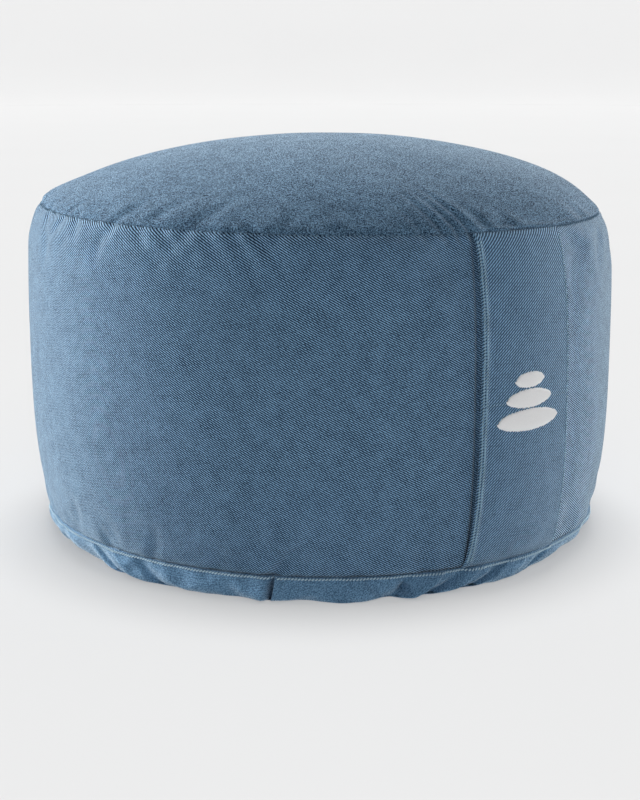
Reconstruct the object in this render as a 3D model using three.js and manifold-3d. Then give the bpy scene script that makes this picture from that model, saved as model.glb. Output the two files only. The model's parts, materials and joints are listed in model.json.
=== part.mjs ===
// A tall round floor cushion for sitting and meditation, in millimetres, with +Z up.
// A loose zipped cover (domed top, barrel side, gathered bottom) holds a cotton inner case that is
// filled with husks. A wide carrying strap is sewn into the cover's two seams on the -Y side, and the
// cover's zip runs round the +Y side, just above the floor. The origin is on the floor, on the axis.
import * as THREE from "three";
import { mergeVertices } from "three/addons/utils/BufferGeometryUtils.js";
import Module from "manifold-3d";

const wasm = await Module();
wasm.setup();

// ---- Driving dimensions ----
const CLOTH = 1.2; // a cover panel, a little thicker than the twill so that it keeps its shape
const LINING = 1.0; // an inner case panel
const GAP = 0.3; // between pieces that touch
const FACETS = 60; // round the cushion, one every 6 degrees
const DEGREE = Math.PI / 180;

const TOP_SEAM = { radius: 156.5, height: 182 };
const BOTTOM_SEAM = { radius: 157.5, height: 12 };
const BULGE = 8; // how far the side swells beyond its seams
const BULGE_POWER = 3;
const CROWN = 38; // the dome's rise above the top seam
const CROWN_POWER = 1.44;
const ALLOWANCE = 5; // the top panel's edge, turned down inside the seam
const FLOOR_RADIUS = 148; // where the bottom panel leaves the floor

const INNER_TOP = { radius: 152.5, height: 180 };
const INNER_BOTTOM = { radius: 149, height: 3.1 };
const INNER_BULGE = 9.6;
const INNER_BULGE_POWER = 2.4;
const INNER_CROWN = 37.5;
const INNER_FLOOR = 1.8; // underside of the inner case
const FILL_CLEARANCE = 1.4; // between the case's outside and the husks

const HANDLE = { width: 62, cloth: 1.4, hem: 5, hemCloth: 2.2, end: 0.5, bow: 8.8, flatten: 0.15 };
const HANDLE_POWER = 3;
const HANDLE_ROWS = 12; // of facets up the strap
const HANDLE_AT = 270; // degrees from +X
const HEM_STEP = 0.5; // across which a hem's thickness falls to the strap's
const THREAD = 0.7;
const STITCH_INSET = 3; // from a hem's edge to its row of stitches
const STITCH_END = 4; // from a seam to the first stitch

// The emblem: three embroidered stones, from the lowest up.
const STONES = [
  { name: "emblem_stone_lower", width: 42, height: 11, middle: 87.5 },
  { name: "emblem_stone_middle", width: 31, height: 9.5, middle: 98.5 },
  { name: "emblem_stone_upper", width: 20, height: 8, middle: 108 },
];

// Angles along the cover's zip are in degrees, and its window is half the opening's height.
const ZIP = { at: 90, height: 15, halfSpan: 54, window: 5.5, tapeIn: 154.5, tapeOut: 155.3 };
const ZIP_TAPE = { end: 1, halfGap: 0.4, above: 1, below: 2 };
const ZIP_CUT = { inside: 145, outside: 175 };
const COIL = { width: 2.25, thickness: 2.2, halfGap: 0.15 };
const STOP = { near: 0.1, far: 0.8, halfGap: 0.2, proud: 0.6 };
const SLIDER = { length: 12, halfWidth: 4.4, plate: 1.3, flange: 1.5, restAngle: -50 };
const SLIDER_NOSE = { length: 3, height: 1 }; // each rounded front corner
const SLIDER_LIFT = 0.5; // from the coil to a slider's outer plate
const SLIDER_BITE = 0.4; // how far a flange reaches into its plate
const FLANGE_SHORT = 2; // how much shorter than the plate a flange is
const ARCH = { half: 4, halfWidth: 1.2, height: 3.6, wall: 1, legs: 1.2, bite: 0.3 };
const TAB = { length: 24, width: 7, thickness: 1.2, eye: 4.4, eyeWidth: 3.8, rail: 0.6, taper: 0.6 };
const PIN_HEIGHT = 1.3; // the pull tab's pivot, out from the slider's face

const INNER_ZIP = { length: 240, tapeWidth: 10.6, tape: 0.8, depth: 7.2, lip: 11.4, halfGap: 0.4 };
const INNER_ZIP_END = 5; // how far the turned-up edges run past the zip
const INNER_STOP = 1.7; // along the zip
const INNER_SLIDER = { length: 11, halfWidth: 4.2, travel: 108 };
const FILL_FOOT = { height: 5, inset: 6 }; // the slant at the filling's bottom edge
const FILL_GROOVE_END = 1; // how far the filling's groove runs past the turned-up edges

const LABEL_TAPE = { from: 196, to: 206, thickness: 0.6, inset: 4 * GAP, foot: 3, height: 40 };
const ROW_END = 1; // degrees left free at each end of a row of stitches
const ROW_ABOVE = { zip: 2, seam: 2 }; // from an edge to the stitches above it
const ROW_BELOW_ZIP = 2.5;

// ---- Materials ----
const material = (color, roughness, metalness = 0) =>
  new THREE.MeshStandardMaterial({ color, roughness, metalness });
const TWILL = material("#4d7089", 0.9);
const THREAD_BLUE = material("#7f9db2", 0.8);
const EMBROIDERY = material("#ece9e4", 0.6);
const TAPE = material("#46657d", 0.9);
const NYLON = material("#3f5b72", 0.5);
const NICKEL = material("#b9bcbf", 0.35, 1);
const CALICO = material("#e6decb", 0.95);
const HUSK = material("#c49a5c", 1);
const LABEL = material("#f2f2ee", 0.8);

// ---- Helpers ----
const cushion = new THREE.Group();
const mix = (a, b, share) => a + (b - a) * share;
const steps = (count) => Array.from({ length: count + 1 }, (_, i) => i / count);
const point = (radius, height) => new THREE.Vector2(radius, height);

function add(name, geometry, look, parent = cushion) {
  const mesh = new THREE.Mesh(geometry, look);
  mesh.name = name;
  parent.add(mesh);
  return mesh;
}

// A closed profile of radius and height, turned about the Z axis.
function turned(profile) {
  return new THREE.LatheGeometry(profile, FACETS).rotateX(Math.PI / 2);
}

// A box whose points are moved to place(u, v, w), where u, v and w run from 0 to 1.
function bentBox(place, segments) {
  const geometry = new THREE.BoxGeometry(1, 1, 1, ...segments);
  const position = geometry.getAttribute("position");
  for (let i = 0; i < position.count; i++) {
    const shares = [position.getX(i), position.getY(i), position.getZ(i)].map((s) => s + 0.5);
    position.setXYZ(i, ...place(...shares));
  }
  return geometry;
}

// A bar bent round the Z axis. Angles are in degrees from +X, and radii may depend on the height.
function arcBar({ from, to, inside, outside, low, high, rows = 1 }) {
  const radiusAt = (value, z) => (typeof value === "function" ? value(z) : value);
  const segments = [1, Math.max(1, Math.round((Math.abs(to - from) * FACETS) / 360)), rows];
  return bentBox((u, v, w) => {
    const z = mix(low, high, w);
    const radius = mix(radiusAt(inside, z), radiusAt(outside, z), u);
    const angle = mix(from, to, v) * DEGREE;
    return [radius * Math.cos(angle), radius * Math.sin(angle), z];
  }, segments);
}

function box(x, y, z) {
  const size = [x, y, z].map(([low, high]) => high - low);
  const middle = [x, y, z].map(([low, high]) => (low + high) / 2);
  return new THREE.BoxGeometry(...size).translate(...middle);
}

function solidOf(geometry) {
  const bare = geometry.clone();
  bare.deleteAttribute("normal");
  bare.deleteAttribute("uv");
  const merged = mergeVertices(bare, 1e-4);
  const vertProperties = merged.getAttribute("position").array;
  const triVerts = new Uint32Array(merged.index.array);
  return new wasm.Manifold(new wasm.Mesh({ numProp: 3, vertProperties, triVerts }));
}

function geometryOf(solid) {
  const mesh = solid.getMesh();
  const geometry = new THREE.BufferGeometry();
  geometry.setAttribute("position", new THREE.BufferAttribute(mesh.vertProperties, 3));
  geometry.setIndex(new THREE.BufferAttribute(mesh.triVerts, 1));
  return geometry;
}

const joined = (...pieces) => geometryOf(pieces.map(solidOf).reduce((a, b) => a.add(b)));
const cut = (piece, tool) => geometryOf(solidOf(piece).subtract(solidOf(tool)));

// ---- The cushion's own curves ----
// A barrel's radius at a height, from its two seams, its bulge and the bulge's power.
function barrel(low, high, bulge, power) {
  return (z) => {
    const share = (z - low.height) / (high.height - low.height);
    return mix(low.radius, high.radius, share) + bulge * (1 - Math.abs(2 * share - 1) ** power);
  };
}
const sideRadius = barrel(BOTTOM_SEAM, TOP_SEAM, BULGE, BULGE_POWER);
const innerRadius = barrel(INNER_BOTTOM, INNER_TOP, INNER_BULGE, INNER_BULGE_POWER);

// Points of a dome from its rim to its middle.
function dome(radius, base, crown, count) {
  return steps(count).map((share) => {
    const angle = ((1 - share) * Math.PI) / 2;
    return point(radius * Math.sin(angle), base + crown * Math.cos(angle) ** CROWN_POWER);
  });
}

// Points of a barrel's face from low to high, moved inwards by inset.
function side(radiusAt, inset, low, high, count) {
  return steps(count).map((share) => {
    const z = mix(low, high, share);
    return point(radiusAt(z) - inset, z);
  });
}

// Points of the bottom panel's turned-up edge, from the floor to the seam.
function bottomEdge(inset, count) {
  const top = BOTTOM_SEAM.height - GAP / 2;
  return steps(count).map((share) => {
    const angle = (share * Math.PI) / 2;
    const reach = BOTTOM_SEAM.radius - FLOOR_RADIUS - inset;
    return point(FLOOR_RADIUS + reach * Math.sin(angle), mix(top, inset, Math.cos(angle)));
  });
}

// ---- Outer cover ----
function coverTop() {
  const rim = TOP_SEAM.height + GAP / 2;
  const lip = TOP_SEAM.radius - CLOTH - GAP;
  const outer = dome(TOP_SEAM.radius, rim, CROWN, 8);
  const inner = dome(lip - CLOTH, rim, CROWN - CLOTH, 5).reverse();
  const turnedDown = [point(lip - CLOTH, rim - ALLOWANCE), point(lip, rim - ALLOWANCE), point(lip, rim)];
  return turned([...inner, ...turnedDown, ...outer]);
}

function coverSide() {
  const low = BOTTOM_SEAM.height + GAP / 2;
  const high = TOP_SEAM.height - GAP / 2;
  const outer = side(sideRadius, 0, low, high, 8);
  const inner = side(sideRadius, CLOTH, low, high, 6).reverse();
  return turned([...outer, ...inner, outer[0].clone()]);
}

function coverBottom() {
  const outer = bottomEdge(0, 4);
  const inner = bottomEdge(CLOTH, 3).reverse();
  return turned([point(0, 0), ...outer, ...inner, point(0, CLOTH)]);
}

// The opening that the zip fills, cut through the side and bottom panels.
const zipWindow = arcBar({
  from: ZIP.at - ZIP.halfSpan,
  to: ZIP.at + ZIP.halfSpan,
  ...ZIP_CUT,
  low: ZIP.height - ZIP.window,
  high: ZIP.height + ZIP.window,
});

// ---- Handle ----
// A point on the strap: across from its middle, at a height, and out from its inner face.
function onHandle(across, z, out) {
  const share = (z - BOTTOM_SEAM.height) / (TOP_SEAM.height - BOTTOM_SEAM.height);
  const rise = 1 - Math.abs(2 * share - 1) ** HANDLE_POWER;
  const seam = mix(BOTTOM_SEAM.radius, TOP_SEAM.radius, share);
  const sag = (seam - Math.sqrt(seam ** 2 - across ** 2)) * (1 - HANDLE.flatten * rise);
  return [across, sag - out - seam - GAP - HANDLE.bow * rise, z];
}

function handleStrap() {
  const half = HANDLE.width / 2;
  const hemEdge = half - HANDLE.hem;
  const flat = hemEdge - HEM_STEP;
  const columns = [-half, -hemEdge, -flat, -half / 2, 0, half / 2, flat, hemEdge, half];
  const low = BOTTOM_SEAM.height + HANDLE.end;
  const high = TOP_SEAM.height - HANDLE.end;
  const place = (u, v, w) => {
    const across = columns[Math.round(u * (columns.length - 1))];
    const thickness = Math.abs(across) >= hemEdge ? HANDLE.hemCloth : HANDLE.cloth;
    return onHandle(across, mix(low, high, w), (1 - v) * thickness);
  };
  return bentBox(place, [columns.length - 1, 1, HANDLE_ROWS]);
}

function handleStitches(across) {
  const low = BOTTOM_SEAM.height + STITCH_END;
  const high = TOP_SEAM.height - STITCH_END;
  const face = HANDLE.hemCloth + GAP;
  const place = (u, v, w) =>
    onHandle(across + (u - 0.5) * THREAD, mix(low, high, w), face + (1 - v) * THREAD);
  return bentBox(place, [1, 1, HANDLE_ROWS]);
}

// One embroidered stone of the emblem: an ellipse that lies on the strap's face.
function emblemStone({ width, height, middle }) {
  const outline = new THREE.Shape();
  outline.absellipse(0, 0, width / 2, height / 2, 0, 2 * Math.PI);
  const plate = new THREE.ExtrudeGeometry(outline, { depth: 1, bevelEnabled: false, curveSegments: 14 });
  const position = plate.getAttribute("position");
  const face = HANDLE.cloth + 2 * GAP;
  for (let i = 0; i < position.count; i++) {
    const [across, up, out] = [position.getX(i), position.getY(i), position.getZ(i)];
    position.setXYZ(i, ...onHandle(across, middle + up, face + out * THREAD));
  }
  return plate;
}

// ---- Cover zip, built at the middle of its arc and turned to its place ----
const zipFrom = ZIP.at - ZIP.halfSpan;
const zipTo = ZIP.at + ZIP.halfSpan;
const zipArc = (name, look, limits) =>
  add(name, arcBar({ from: zipFrom + ZIP_TAPE.end, to: zipTo - ZIP_TAPE.end, ...limits }), look);

const coilIn = ZIP.tapeOut + GAP;
const coilOut = coilIn + COIL.thickness;
const coilReach = COIL.halfGap + COIL.width;

function addZipArcs() {
  const tape = { inside: ZIP.tapeIn, outside: ZIP.tapeOut };
  const coil = { inside: coilIn, outside: coilOut };
  const z = ZIP.height;
  const tapeTop = z + ZIP.window + ZIP_TAPE.above;
  const tapeFoot = z - ZIP.window - ZIP_TAPE.below;
  zipArc("cover_zip_tape_upper", TAPE, { ...tape, low: z + ZIP_TAPE.halfGap, high: tapeTop });
  zipArc("cover_zip_tape_lower", TAPE, { ...tape, low: tapeFoot, high: z - ZIP_TAPE.halfGap });
  zipArc("cover_zip_coil_upper", NYLON, { ...coil, low: z + COIL.halfGap, high: z + coilReach });
  zipArc("cover_zip_coil_lower", NYLON, { ...coil, low: z - coilReach, high: z - COIL.halfGap });
}

function addZipStops() {
  const closed = { from: zipFrom + STOP.near, to: zipFrom + STOP.far };
  const open = { from: zipTo - STOP.far, to: zipTo - STOP.near };
  const stop = (name, ends, low, high) =>
    add(name, arcBar({ ...ends, inside: coilIn, outside: coilOut + STOP.proud, low, high }), NICKEL);
  const low = ZIP.height - coilReach;
  const high = ZIP.height + coilReach;
  stop("cover_zip_top_stop_upper", closed, ZIP.height + STOP.halfGap, high);
  stop("cover_zip_top_stop_lower", closed, low, ZIP.height - STOP.halfGap);
  stop("cover_zip_bottom_stop", open, low, high);
}

const platform = coilOut + SLIDER_LIFT; // underside of the slider's outer plate
const sliderFace = platform + SLIDER.plate;
const pinOut = sliderFace + PIN_HEIGHT;

function zipSlider() {
  const z = ZIP.height;
  const half = SLIDER.length / 2;
  const edge = SLIDER.halfWidth;
  const nose = half - SLIDER_NOSE.length;
  const outline = new THREE.Shape();
  outline.moveTo(-half, -edge);
  outline.lineTo(nose, -edge);
  outline.quadraticCurveTo(half, -edge, half, SLIDER_NOSE.height - edge);
  outline.lineTo(half, edge - SLIDER_NOSE.height);
  outline.quadraticCurveTo(half, edge, nose, edge);
  outline.lineTo(-half, edge);
  outline.closePath();
  const plate = new THREE.ExtrudeGeometry(outline, {
    depth: SLIDER.plate,
    bevelEnabled: false,
    curveSegments: 3,
  });
  plate.rotateX(Math.PI / 2).translate(0, sliderFace, z);
  const flange = (low, high) =>
    box([-half, half - FLANGE_SHORT], [coilIn, platform + SLIDER_BITE], [low, high]);
  const lower = flange(z - edge, z - edge + SLIDER.flange);
  const upper = flange(z + edge - SLIDER.flange, z + edge);
  return joined(plate, lower, upper, sliderArch());
}

// The bridge on the slider's face that the pull tab hangs from.
function sliderArch() {
  const z = ZIP.height;
  const around = (half, low, high, halfWidth) =>
    box([-half, half], [sliderFace + low, sliderFace + high], [z - halfWidth, z + halfWidth]);
  const opening = around(ARCH.half - ARCH.legs, -1, ARCH.height - ARCH.wall, 2 * ARCH.halfWidth);
  return cut(around(ARCH.half, -ARCH.bite, ARCH.height, ARCH.halfWidth), opening);
}

// The tab's outline has its pivot at the origin. Its eye goes round the leg of the slider's arch.
function pullTab() {
  const half = TAB.width / 2;
  const shape = new THREE.Shape();
  shape.moveTo(-TAB.rail, -half);
  shape.lineTo(TAB.length - half, TAB.taper - half);
  shape.absarc(TAB.length - half, 0, half - TAB.taper, -Math.PI / 2, Math.PI / 2, false);
  shape.lineTo(-TAB.rail, half);
  shape.closePath();
  const eye = new THREE.Path();
  eye.moveTo(TAB.rail, -TAB.eyeWidth / 2);
  eye.lineTo(TAB.rail, TAB.eyeWidth / 2);
  eye.lineTo(TAB.rail + TAB.eye, TAB.eyeWidth / 2);
  eye.lineTo(TAB.rail + TAB.eye, -TAB.eyeWidth / 2);
  eye.closePath();
  shape.holes.push(eye);
  const plate = new THREE.ExtrudeGeometry(shape, {
    depth: TAB.thickness,
    bevelEnabled: false,
    curveSegments: 6,
  });
  return plate.rotateX(Math.PI / 2).translate(0, pinOut + TAB.thickness / 2, ZIP.height);
}

// ---- Inner case ----
function innerTop() {
  const rim = INNER_TOP.height + GAP / 2;
  const outer = dome(INNER_TOP.radius, rim, INNER_CROWN, 5);
  const inner = dome(INNER_TOP.radius - LINING, rim, INNER_CROWN - LINING, 5).reverse();
  return turned([...inner, ...outer]);
}

function innerSide() {
  const low = INNER_BOTTOM.height;
  const high = INNER_TOP.height - GAP / 2;
  const outer = side(innerRadius, 0, low, high, 6);
  const inner = side(innerRadius, LINING, low, high, 5).reverse();
  return turned([...outer, ...inner, outer[0].clone()]);
}

const innerLipHalf = INNER_ZIP.length / 2 + INNER_ZIP_END;

// Half of the inner case's bottom, with the edge beside the zip turned up into the filling.
function innerBottomHalf() {
  const radius = INNER_BOTTOM.radius;
  const half = innerLipHalf;
  const start = Math.asin(GAP / 2 / radius);
  const outline = new THREE.Shape();
  outline.moveTo(half, GAP / 2);
  outline.absarc(0, 0, radius, start, Math.PI - start, false);
  outline.lineTo(-half, GAP / 2);
  outline.lineTo(-half, INNER_ZIP.lip);
  outline.lineTo(half, INNER_ZIP.lip);
  outline.closePath();
  const disc = new THREE.ExtrudeGeometry(outline, {
    depth: LINING,
    bevelEnabled: false,
    curveSegments: 32,
  });
  disc.translate(0, 0, INNER_FLOOR);
  const lip = box(
    [-half, half],
    [INNER_ZIP.lip, INNER_ZIP.lip + LINING],
    [INNER_FLOOR + LINING / 2, INNER_ZIP.depth + INNER_ZIP.tape],
  );
  return joined(disc, lip);
}

function huskFilling() {
  const low = INNER_FLOOR + LINING + GAP;
  const base = INNER_BOTTOM.height + FILL_FOOT.height;
  const wall = side(innerRadius, FILL_CLEARANCE, base, INNER_TOP.height, 5);
  const roof = dome(INNER_TOP.radius - FILL_CLEARANCE, INNER_TOP.height, INNER_CROWN - FILL_CLEARANCE, 5);
  const foot = [point(0, low), point(INNER_BOTTOM.radius - FILL_FOOT.inset, low)];
  const body = turned([...foot, ...wall, ...roof.slice(1)]);
  const half = innerLipHalf + FILL_GROOVE_END;
  const edge = INNER_ZIP.lip + LINING + GAP;
  const ceiling = INNER_ZIP.depth + INNER_ZIP.tape + GAP;
  return cut(body, box([-half, half], [-edge, edge], [0, ceiling]));
}

// ---- Inner zip, straight along X in a groove under the filling, with its coil facing down ----
function addInnerZip() {
  const half = INNER_ZIP.length / 2;
  const tapeEnd = [INNER_ZIP.depth, INNER_ZIP.depth + INNER_ZIP.tape];
  const coilDepth = [INNER_ZIP.depth - GAP - COIL.thickness, INNER_ZIP.depth - GAP];
  const along = [-half, half];
  const across = [INNER_ZIP.halfGap, INNER_ZIP.halfGap + INNER_ZIP.tapeWidth];
  const tape = box(along, across, tapeEnd);
  const coil = box(along, [COIL.halfGap, coilReach], coilDepth);
  const mirrored = (geometry) => geometry.clone().rotateZ(Math.PI);
  add("inner_zip_tape_back", tape, CALICO);
  add("inner_zip_tape_front", mirrored(tape), CALICO);
  add("inner_zip_coil_back", coil, CALICO);
  add("inner_zip_coil_front", mirrored(coil), CALICO);
  const stop = box([half + GAP, half + GAP + INNER_STOP], [-coilReach, coilReach], coilDepth);
  add("inner_zip_stop_closed", stop, NICKEL);
  add("inner_zip_stop_open", mirrored(stop), NICKEL);

  const reach = INNER_SLIDER.length / 2;
  const edge = INNER_SLIDER.halfWidth;
  const low = coilDepth[0] - SLIDER_LIFT - SLIDER.plate;
  const plate = box([-reach, reach], [-edge, edge], [low, low + SLIDER.plate]);
  const flange = box([-reach, reach], [edge - SLIDER.flange, edge], [low + SLIDER_BITE, coilDepth[1]]);
  const slider = joined(plate, flange, mirrored(flange)).translate(INNER_SLIDER.travel, 0, 0);
  add("inner_zip_slider", slider, NICKEL);
}

// ---- Topstitching on the cover, and the care label inside it ----
function addTopstitches() {
  const row = (name, limits) => {
    const { low, outside } = limits;
    const thread = { inside: outside + GAP, outside: outside + GAP + THREAD, high: low + THREAD };
    add(name, arcBar({ ...limits, ...thread }), THREAD_BLUE);
  };
  const back = { from: zipFrom, to: zipTo };
  const handleEdge = Math.asin(HANDLE.width / 2 / BOTTOM_SEAM.radius) / DEGREE + ROW_END;
  const left = { from: zipTo + ROW_END, to: HANDLE_AT - handleEdge };
  const right = { from: HANDLE_AT + handleEdge, to: 360 + zipFrom - ROW_END };
  const above = ZIP.height + ZIP.window + ROW_ABOVE.zip;
  const below = ZIP.height - ZIP.window - ROW_BELOW_ZIP;
  const seam = BOTTOM_SEAM.height + ROW_ABOVE.seam;
  row("bottom_seam_topstitch_left", { ...left, low: seam, outside: sideRadius(seam + THREAD) });
  row("bottom_seam_topstitch_right", { ...right, low: seam, outside: sideRadius(seam + THREAD) });
  row("zip_topstitch_upper", { ...back, low: above, outside: sideRadius(above + THREAD) });
  row("zip_topstitch_lower", { ...back, low: below, outside: BOTTOM_SEAM.radius });
}

function careLabel() {
  const { from, to, thickness, inset, foot, height } = LABEL_TAPE;
  const low = BOTTOM_SEAM.height + foot;
  const outside = (z) => sideRadius(z) - CLOTH - inset;
  const inside = (z) => outside(z) - thickness;
  return arcBar({ from, to, inside, outside, low, high: low + height, rows: 5 });
}

// ---- Assembly ----
add("cover_top_panel", coverTop(), TWILL);
add("cover_side_panel", cut(coverSide(), zipWindow), TWILL);
add("cover_bottom_panel", cut(coverBottom(), zipWindow), TWILL);
addTopstitches();
add("care_label", careLabel(), LABEL);

const stitchLine = HANDLE.width / 2 - STITCH_INSET;
add("handle_strap", handleStrap(), TWILL);
add("handle_topstitch_left", handleStitches(-stitchLine), THREAD_BLUE);
add("handle_topstitch_right", handleStitches(stitchLine), THREAD_BLUE);
STONES.forEach((stone) => add(stone.name, emblemStone(stone), EMBROIDERY));

addZipArcs();
addZipStops();
const atRest = new THREE.Group();
atRest.rotation.z = SLIDER.restAngle * DEGREE;
cushion.add(atRest);
add("cover_zip_slider", zipSlider(), NICKEL, atRest);
add("cover_zip_pull_tab", pullTab(), NICKEL, atRest);

const frontHalf = new THREE.Group();
frontHalf.rotation.z = Math.PI;
cushion.add(frontHalf);
add("inner_top_panel", innerTop(), CALICO);
add("inner_side_panel", innerSide(), CALICO);
add("inner_bottom_back", innerBottomHalf(), CALICO);
add("inner_bottom_front", innerBottomHalf(), CALICO, frontHalf);
addInnerZip();
add("husk_filling", huskFilling(), HUSK);

export default cushion;
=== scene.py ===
"""A tall round floor cushion: twill cover with gathered base, carrying strap, embroidery and zip.

Everything is worked out in millimetres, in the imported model's frame (+Z up, the strap at -Y, the
cover's zip at +Y), and turned into metres as each mesh is made. Angles are in degrees from +X.
"""

import json
import math

import bpy
import numpy as np
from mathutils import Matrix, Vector

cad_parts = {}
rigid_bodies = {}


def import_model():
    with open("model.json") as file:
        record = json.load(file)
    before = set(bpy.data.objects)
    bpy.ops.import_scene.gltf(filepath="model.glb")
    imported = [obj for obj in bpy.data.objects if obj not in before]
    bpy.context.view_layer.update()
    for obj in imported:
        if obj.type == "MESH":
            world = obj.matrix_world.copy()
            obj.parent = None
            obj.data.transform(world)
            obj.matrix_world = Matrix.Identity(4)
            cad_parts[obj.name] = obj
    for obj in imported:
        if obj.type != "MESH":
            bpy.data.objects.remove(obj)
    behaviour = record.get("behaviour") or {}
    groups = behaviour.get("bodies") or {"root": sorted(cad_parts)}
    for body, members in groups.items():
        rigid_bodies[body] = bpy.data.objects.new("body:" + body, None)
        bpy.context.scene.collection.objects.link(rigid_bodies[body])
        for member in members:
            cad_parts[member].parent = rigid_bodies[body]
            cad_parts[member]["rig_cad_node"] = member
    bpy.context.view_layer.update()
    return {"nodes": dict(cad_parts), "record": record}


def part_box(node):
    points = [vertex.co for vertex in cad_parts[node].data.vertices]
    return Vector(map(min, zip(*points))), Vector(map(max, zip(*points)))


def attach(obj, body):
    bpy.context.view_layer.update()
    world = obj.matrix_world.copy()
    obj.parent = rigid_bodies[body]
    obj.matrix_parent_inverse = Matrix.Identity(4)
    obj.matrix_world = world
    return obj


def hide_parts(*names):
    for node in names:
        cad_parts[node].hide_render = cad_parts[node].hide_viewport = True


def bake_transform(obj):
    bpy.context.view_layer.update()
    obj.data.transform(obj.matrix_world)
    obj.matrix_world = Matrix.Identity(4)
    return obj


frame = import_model()

MM = 0.001
STRAP_AT = 270.0  # the middle of the strap
ZIP_AT = 90.0  # the middle of the cover's zip
CAMERA_AT = 231.0  # the side that the camera looks at
COLUMNS = 720  # mesh columns round the cushion


def box_mm(node):
    low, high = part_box(node)
    return np.array(low) / MM, np.array(high) / MM


# ---- Sizes, from the CAD ----
SIDE_LOW, SIDE_HIGH = box_mm("cover_side_panel")
TOP_HIGH = box_mm("cover_top_panel")[1]
BASE_HIGH = box_mm("cover_bottom_panel")[1]
STRAP_LOW, STRAP_HIGH = box_mm("handle_strap")
TAPE_HIGH = box_mm("cover_zip_tape_upper")[1]
COIL_HIGH = box_mm("cover_zip_coil_upper")[1]
COIL_LOW = box_mm("cover_zip_coil_lower")[0]
TOP_RADIUS, TOP_SEAM = TOP_HIGH[0], SIDE_HIGH[2]
BASE_RADIUS, BASE_SEAM = BASE_HIGH[0], SIDE_LOW[2]
BULGE = SIDE_HIGH[0] - (TOP_RADIUS + BASE_RADIUS) / 2
CROWN = TOP_HIGH[2] - TOP_SEAM
SIDE_HEIGHT = TOP_SEAM - BASE_SEAM
CLOTH = 1.2  # the thickness of the cover's cloth
ZIP_HALF_SPAN = math.degrees(math.asin(TAPE_HIGH[0] / TAPE_HIGH[1])) + 1  # a degree past the tape
ZIP_TOP = TAPE_HIGH[2] - 1.0  # the edge of the side panel over the zip
ZIP_FOOT = box_mm("cover_zip_tape_lower")[0][2] + 2.0  # the edge of the base panel below it

FLOOR_RADIUS = 149.0  # where the gathered base leaves the floor
FLOOR_SHIFT = 6.5  # the cushion slumps this far towards the camera on its base
TILT_TOP, TILT_BASE = 2.3, 1.8  # a seam is this much lower on the side right of the camera
TILT_AT = CAMERA_AT + 90
SEAM_GROOVE = 1.3  # how deep a seam pulls the cloth in
SEAM_REACH = 2.2  # and how far from the seam that shows

STRAP_WIDTH = STRAP_HIGH[0] - STRAP_LOW[0]
STRAP_ROOM = 2.5  # kept for its thickness
STRAP_BOW = -STRAP_LOW[1] - (TOP_RADIUS + BASE_RADIUS) / 2 - STRAP_ROOM
STRAP_FLATTEN = 0.15  # how much flatter than the side it is in its middle
STRAP_FLARE = 0.045  # how much wider it is at the base than on average, and narrower at the top
STRAP_CLOTH, HEM_CLOTH, HEM = 1.4, 1.9, 3.4  # thickness, thickness at the left hem, its width
STRAP_GAP = 0.3  # how far its inner face is from the seams
STRAP_TUCK, STRAP_TUCK_REACH = 2.2, 2.5 / 170  # how far its ends are tucked in, over what share


# ---- Small mathematics ----
def smooth(t):
    t = np.clip(t, 0, 1)
    return t * t * (3 - 2 * t)


def mix(a, b, t):
    return a + (b - a) * t


def bell(t):
    """1 at 0, falling away smoothly on both sides."""
    return np.exp(-(t**2))


def polar(radius, degrees, z):
    """Points from radius, angle and height, which may be arrays of any matching shapes."""
    turn = np.radians(degrees)
    radius, turn, z = np.broadcast_arrays(radius, turn, z)
    return np.stack([radius * np.cos(turn), radius * np.sin(turn), z], axis=-1)


def apart(a, b):
    """The signed angle from b to a, from -180 to 180."""
    return (a - b + 180) % 360 - 180


def within(degrees, middle, span, fade):
    """1 around the middle, fading to 0 at the span's ends."""
    return smooth((span - np.abs(apart(degrees, middle))) / fade)


def crowded(count, power=1.6):
    """Shares from 0 to 1, closer together near both ends."""
    t = np.linspace(-1, 1, count)
    return 0.5 + 0.5 * np.sign(t) * (1 - (1 - np.abs(t)) ** power)


def ripple(degrees, seed, lowest, highest):
    """A smooth wavy line round the cushion, about 1 high at most, the same in each run."""
    random = np.random.default_rng(seed)
    total = np.zeros_like(np.asarray(degrees, float))
    for k in range(lowest, highest):
        total += random.normal() * np.cos(np.radians(k * degrees) + random.uniform(0, 2 * np.pi))
    return total / math.sqrt(highest - lowest)


class Relief:
    """How far simulated cloth stands out, on a grid of shares and angles, read smoothly in between."""

    def __init__(self, shares, heights):
        self.shares, self.heights = shares, heights

    def __call__(self, degrees, share):
        rows, count = self.heights.shape
        degrees, share = np.broadcast_arrays(degrees, share)
        row = np.interp(share, self.shares, np.arange(rows))
        column = (degrees - STRAP_AT) / 360 * count
        first_row, first_column = np.floor(row).astype(int), np.floor(column).astype(int)
        total = np.zeros(row.shape)
        for i in (-1, 0, 1, 2):
            for j in (-1, 0, 1, 2):
                weight = spline(row - first_row - i) * spline(column - first_column - j)
                near = self.heights[np.clip(first_row + i, 0, rows - 1), (first_column + j) % count]
                total += weight * near
        return total


def spline(t):
    """The cubic B-spline's weight at a distance of t grid steps."""
    t = np.abs(t)
    inner = 2 / 3 - t**2 + t**3 / 2
    outer = np.clip(2 - t, 0, None) ** 3 / 6
    return np.where(t < 1, inner, outer)


FLAT = Relief(np.array([0.0, 1.0]), np.zeros((2, 4)))
reliefs = {"side": FLAT, "dome": FLAT, "base": FLAT}  # filled in by the cloth simulation


# ---- The cushion's form ----
def seam_heights(degrees):
    lean = np.cos(np.radians(degrees - TILT_AT))
    return BASE_SEAM - TILT_BASE * lean, TOP_SEAM - TILT_TOP * lean


def zip_opening(degrees):
    """1 where the side and base panels part over the zip, 0 elsewhere."""
    corner = 1.5
    return smooth((ZIP_HALF_SPAN - np.abs(apart(degrees, ZIP_AT))) / corner + 0.5)


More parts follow.
